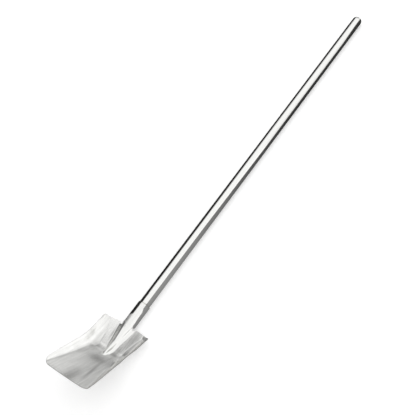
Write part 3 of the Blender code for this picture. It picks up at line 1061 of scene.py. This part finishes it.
class SHOVEL_OT_blade(bpy.types.Operator):
    """Make the pressed blade with its frog and socket"""

    bl_idname = "shovel.blade"
    bl_label = "Blade"

    def execute(self, context):
        settings = context.scene.shovel.sheet
        pan, pan_flat = both_halves(*pan_surface())
        left, left_flat = shoulder_surface()
        right, right_flat = left * (1, -1, 1), left_flat * (1, -1)
        socket, socket_flat = both_halves(*socket_surface())
        # Each grid has its points, its places on the flat sheet, how far it is buffed, and
        # whether its faces are turned over.
        grids = [
            (pan, pan_flat, buffed_share(pan_flat), False),
            (left, left_flat, buffed_share(left_flat), False),
            (right, right_flat, buffed_share(right_flat), True),
            (socket, socket_flat, np.ones(socket.shape[:2]), False),
        ]
        count = 0
        faces = []
        for points, _, _, flip in grids:
            rows, columns = points.shape[:2]
            faces.append(grid_faces(rows, columns, flip) + count)
            count += rows * columns
        flat = np.concatenate([grid[1].reshape(-1, 2) for grid in grids])
        buffed = np.concatenate([grid[2].reshape(-1) for grid in grids])
        piece = add_sheet(
            "blade_sheet",
            np.concatenate([grid[0].reshape(-1, 3) for grid in grids]),
            np.concatenate(faces),
            flat,
            # The second share is painted shade on the pan's patches of shade, and the buffed frog
            # gets none
            {"buffed": buffed, "painted_shade": painted_shade_share(flat) * (1 - buffed)},
            brushed_sheet_material(settings),
        )
        thicken = piece.modifiers.new("sheet thickness", "SOLIDIFY")
        thicken.thickness = SHEET
        thicken.offset = SHEET_GROWS_DOWN
        thicken.use_even_offset = True
        piece.data.materials.append(sheared_edge_material(settings))
        thicken.material_offset_rim = EDGE_SLOT
        deburr = piece.modifiers.new("deburred edges", "BEVEL")
        deburr.width = settings.edge_rounding
        deburr.segments = EDGE_SEGMENTS
        deburr.limit_method = "ANGLE"
        deburr.angle_limit = DEBURRED_ANGLE
        deburr.harden_normals = True
        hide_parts("blade")
        return {"FINISHED"}


class SHOVEL_OT_handle(bpy.types.Operator):
    """Make the long handle tube and its domed cap"""

    bl_idname = "shovel.handle"
    bl_label = "Handle"

    def execute(self, context):
        settings = context.scene.shovel.handle
        material = polished_tube_material(settings)
        inner = TUBE_RADIUS - TUBE_WALL
        end = CAP_X - FIT_GAP
        step = settings.joint_groove
        # Along the outside, over the joint's groove, down the end and back along the bore
        outside = np.linspace(SEAM_X, end - step, TUBE_ROWS)
        x = np.concatenate([outside, [end, end, SEAM_X, SEAM_X]])
        walls = [TUBE_RADIUS - step, inner, inner, TUBE_RADIUS]
        radius = np.concatenate([np.full(TUBE_ROWS, TUBE_RADIUS), walls])
        tube = add_revolved("handle_shell", x, radius, material)
        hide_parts("handle_tube")
        # Across the cap's inner face, round its spigot, and over the dome, which is a quarter
        # of an ellipse: the cosine times its height by the sine times its radius
        foot = CAP_X - SPIGOT_LENGTH
        spigot = inner - FIT_GAP
        bore = spigot - CAP_WALL
        turn = np.linspace(math.pi / 2, 0, DOME_STEPS + 1)
        dome = CAP_X + step + (DOME_HEIGHT - step) * np.cos(turn)
        x = np.concatenate([[CAP_X, CAP_X, foot, foot, CAP_X, CAP_X], dome])
        walls = [0.0, bore, bore, spigot, spigot, TUBE_RADIUS - step]
        radius = np.concatenate([walls, TUBE_RADIUS * np.sin(turn)])
        cap = add_revolved("handle_dome", x, radius, material)
        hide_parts("end_cap")
        return {"FINISHED"}


class SHOVEL_OT_welds(bpy.types.Operator):
    """Make the bead round the socket's mouth and the one along its seam"""

    bl_idname = "shovel.welds"
    bl_label = "Welds"

    def execute(self, context):
        settings = context.scene.shovel.weld
        material = weld_bead_material(settings)
        low = TUBE_RADIUS + FIT_GAP
        # The ring's section is a quarter of an ellipse between the tube and the socket's rim
        turn = np.linspace(math.pi / 2, 0, BEAD_STEPS + 1)
        x = MOUTH_X + FIT_GAP + MOUTH_BEAD_LEG * np.concatenate([[0], np.cos(turn), [0]])
        radius = low + (SOCKET_RADIUS - low) * np.concatenate([[0], np.sin(turn), [0]])
        ring = add_revolved("mouth_bead", x, radius, material)
        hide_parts("mouth_weld")
        # The seam's section is a stem in the gap with half an ellipse on it, which sinks
        # between the ripples by their height times one less the size of a sine
        half_stem = SEAM_GAP / 2 - 2 * FIT_GAP
        under = SOCKET_RADIUS + FIT_GAP
        proud = SEAM_BEAD_PROUD - FIT_GAP
        turn = np.linspace(0, math.pi, 2 * BEAD_STEPS + 1)
        crown = SEAM_BEAD_HALF_WIDTH * np.cos(turn)
        y = np.concatenate([[half_stem, half_stem], crown, [-half_stem, -half_stem]])
        depth = np.concatenate([[low, under], under + proud * np.sin(turn), [under, low]])
        ripples = int((MOUTH_X - SEAM_X) / settings.ripple_pitch)
        x = np.linspace(SEAM_X, MOUTH_X, ripples * RIPPLE_ROWS)[:, None]
        ripple = np.abs(np.sin(math.pi * (x - SEAM_X) / settings.ripple_pitch))
        sunk = settings.ripple_height * (1 - ripple) * (depth > under)
        points = np.stack([x + 0 * y, y + 0 * x, AXIS_Z - depth + sunk], axis=-1)
        rows, columns = points.shape[:2]
        faces = grid_faces(rows, columns, close=True).tolist()
        faces += [list(range(columns)), list(range((rows - 1) * columns, rows * columns))]
        seam = add_solid("seam_bead", points, faces, material)
        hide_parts("seam_weld")
        return {"FINISHED"}


class SHOVEL_OT_stage(bpy.types.Operator):
    """Make the paper floor, the lamp, the cards and the camera"""

    bl_idname = "shovel.stage"
    bl_label = "Stage"

    def execute(self, context):
        settings = context.scene.shovel.stage
        scene = context.scene
        scene.view_settings.view_transform = "Standard"
        scene.world = bpy.data.worlds.new("even studio light")
        add = start_tree(scene.world)
        direct = seen_directly(add)
        strength = add("Mix", {"Factor": direct, "A": settings.sky_strength, "B": PLAIN_WHITE})
        sky = add("Background", {"Color": (1.0, 1.0, 1.0, 1.0), "Strength": strength})
        add("OutputWorld", {"Surface": sky})
        mesh = bpy.data.meshes.new("paper_floor")
        paper = (-PAPER_HALF, PAPER_HALF)
        mesh.from_pydata(level(0.0, paper, paper), [], [(0, 1, 2, 3)])
        mesh.materials.append(paper_floor_material(settings))
        floor = bpy.data.objects.new("paper_floor", mesh)
        scene.collection.objects.link(floor)
        add_lamp("overhead softbox", SOFTBOX_PLACE, SOFTBOX_SIZE, settings.top_radiance)
        cloth = level(SOFTBOX_PLACE[2], CLOTH_ENDS, CLOTH_SIDES)
        add_card("softbox_face", "softbox cloth", CLOTH_LOOK, cloth)
        first = standing(FAR_Y, [FAR_FIRST, FAR_SPLIT], FAR_FOOT)
        add_card("far_card", "graded card on the far side", FAR_LOOK, first)
        middle = standing(FAR_Y, [FAR_SPLIT, FAR_KNEE, FAR_END], FAR_FOOT)
        add_card("far_mid_card", "graded card on the far side", MID_LOOK, middle)
        foot = standing(FAR_Y, [(FAR_FIRST[0], FAR_FOOT), (FAR_END[0], FAR_FOOT)])
        add_card("far_foot_card", "dark card low on the far side", FOOT_LOOK, foot)
        upper = upright(FAR_Y, [UPPER_FIRST, FAR_SPLIT, FAR_KNEE, FAR_END], UPPER_TOP)
        add_card("far_upper_card", "dark card above the far side", UPPER_LOOK, upper)
        end = standing(FAR_Y, [FAR_END, FAR_TUBE], FAR_TUBE_FOOT)
        add_card("far_end_card", "grey card on the far side", FAR_END_LOOK, end)
        last = standing(FAR_Y, [FAR_TUBE, FAR_LAST], FAR_TUBE_FOOT)
        add_card("far_tube_card", "grey card on the far side", FAR_TUBE_LOOK, last)
        low = standing(FAR_Y, [(FAR_END[0], FAR_TUBE_FOOT), (FAR_LAST[0], FAR_TUBE_FOOT)])
        add_card("far_low_end_card", "grey card low on the far side", LOW_END_LOOK, low)
        far_low = standing(FAR_LOW_Y, FAR_LOW_START + FAR_LOW_REST)
        add_card("far_low_card", "dark card on the far side", BLACK_LOOK, far_low)
        neck = standing(NECK_Y, NECK_TOP)
        add_card("far_neck_card", "dark card at the socket", BLACK_LOOK, neck)
        far_strip = level(CARD_LIFT, FAR_STRIP_ENDS, FAR_STRIP_SIDES)
        add_card("far_strip", "dark strip on the far side", FAR_STRIP_LOOK, far_strip)
        near_low = standing(NEAR_LOW_Y, NEAR_LOW_START + NEAR_LOW_MIDDLE + NEAR_LOW_END)
        add_card("near_low_card", "dark card on the near side", NEAR_LOW_LOOK, near_low)
        near_strip = level(CARD_LIFT, NEAR_STRIP_ENDS, NEAR_STRIP_SIDES)
        add_card("near_strip", "dark strip beside the handle", NEAR_STRIP_LOOK, near_strip)
        beyond = crosswise(END_CARD_X, END_CARD_SIDES, END_CARD_HEIGHT)
        add_card("end_card", "grey card beyond the handle's end", END_CARD_LOOK, beyond)
        white = standing(WHITE_Y, WHITE_TOP)
        add_card("white_card", "white card on the near side", WHITE_LOOK, white)
        lying = level(CARD_LIFT, FLOOR_CARD_ENDS, FLOOR_CARD_SIDES)
        add_card("far_floor_card", "dark card on the floor", FLOOR_CARD_LOOK, lying)
        camera_data = bpy.data.cameras.new("photo camera")
        camera_data.sensor_width = CAMERA_SENSOR
        camera_data.lens = CAMERA_LENS
        camera = bpy.data.objects.new("photo camera", camera_data)
        scene.collection.objects.link(camera)
        look = Vector(CAMERA_LOOK).normalized()
        right = look.cross(Vector(CAMERA_UP)).normalized()
        up = right.cross(look)
        turn = Matrix((right, up, -look)).transposed().to_4x4()
        camera.matrix_world = Matrix.Translation(CAMERA_PLACE) @ turn
        scene.camera = camera
        return {"FINISHED"}


class SHOVEL_PT_pieces(bpy.types.Panel):
    """Buttons and settings of the shovel"""

    bl_idname = "SHOVEL_PT_pieces"
    bl_label = "Square shovel"
    bl_space_type = "VIEW_3D"
    bl_region_type = "UI"
    bl_category = "Shovel"

    def draw(self, context):
        shovel = context.scene.shovel
        rows = {
            "shovel.blade": shovel.sheet,
            "shovel.handle": shovel.handle,
            "shovel.welds": shovel.weld,
            "shovel.stage": shovel.stage,
        }
        for operator, settings in rows.items():
            box = self.layout.box()
            box.operator(operator)
            for name in settings.bl_rna.properties.keys():
                if name not in ("rna_type", "name"):
                    box.prop(settings, name)


CLASSES = (
    SheetSettings,
    HandleSettings,
    WeldSettings,
    StageSettings,
    ShovelSettings,
    SHOVEL_OT_blade,
    SHOVEL_OT_handle,
    SHOVEL_OT_welds,
    SHOVEL_OT_stage,
    SHOVEL_PT_pieces,
)


def register():
    """Make the classes and the scene's shovel settings known."""
    for cls in CLASSES:
        bpy.utils.register_class(cls)
    bpy.types.Scene.shovel = PointerProperty(type=ShovelSettings)


def unregister():
    """Take the settings and the classes away again."""
    del bpy.types.Scene.shovel
    for cls in reversed(CLASSES):
        bpy.utils.unregister_class(cls)


def main():
    register()
    bpy.ops.shovel.blade()
    bpy.ops.shovel.handle()
    bpy.ops.shovel.welds()
    bpy.ops.shovel.stage()


if __name__ == "__main__":
    main()
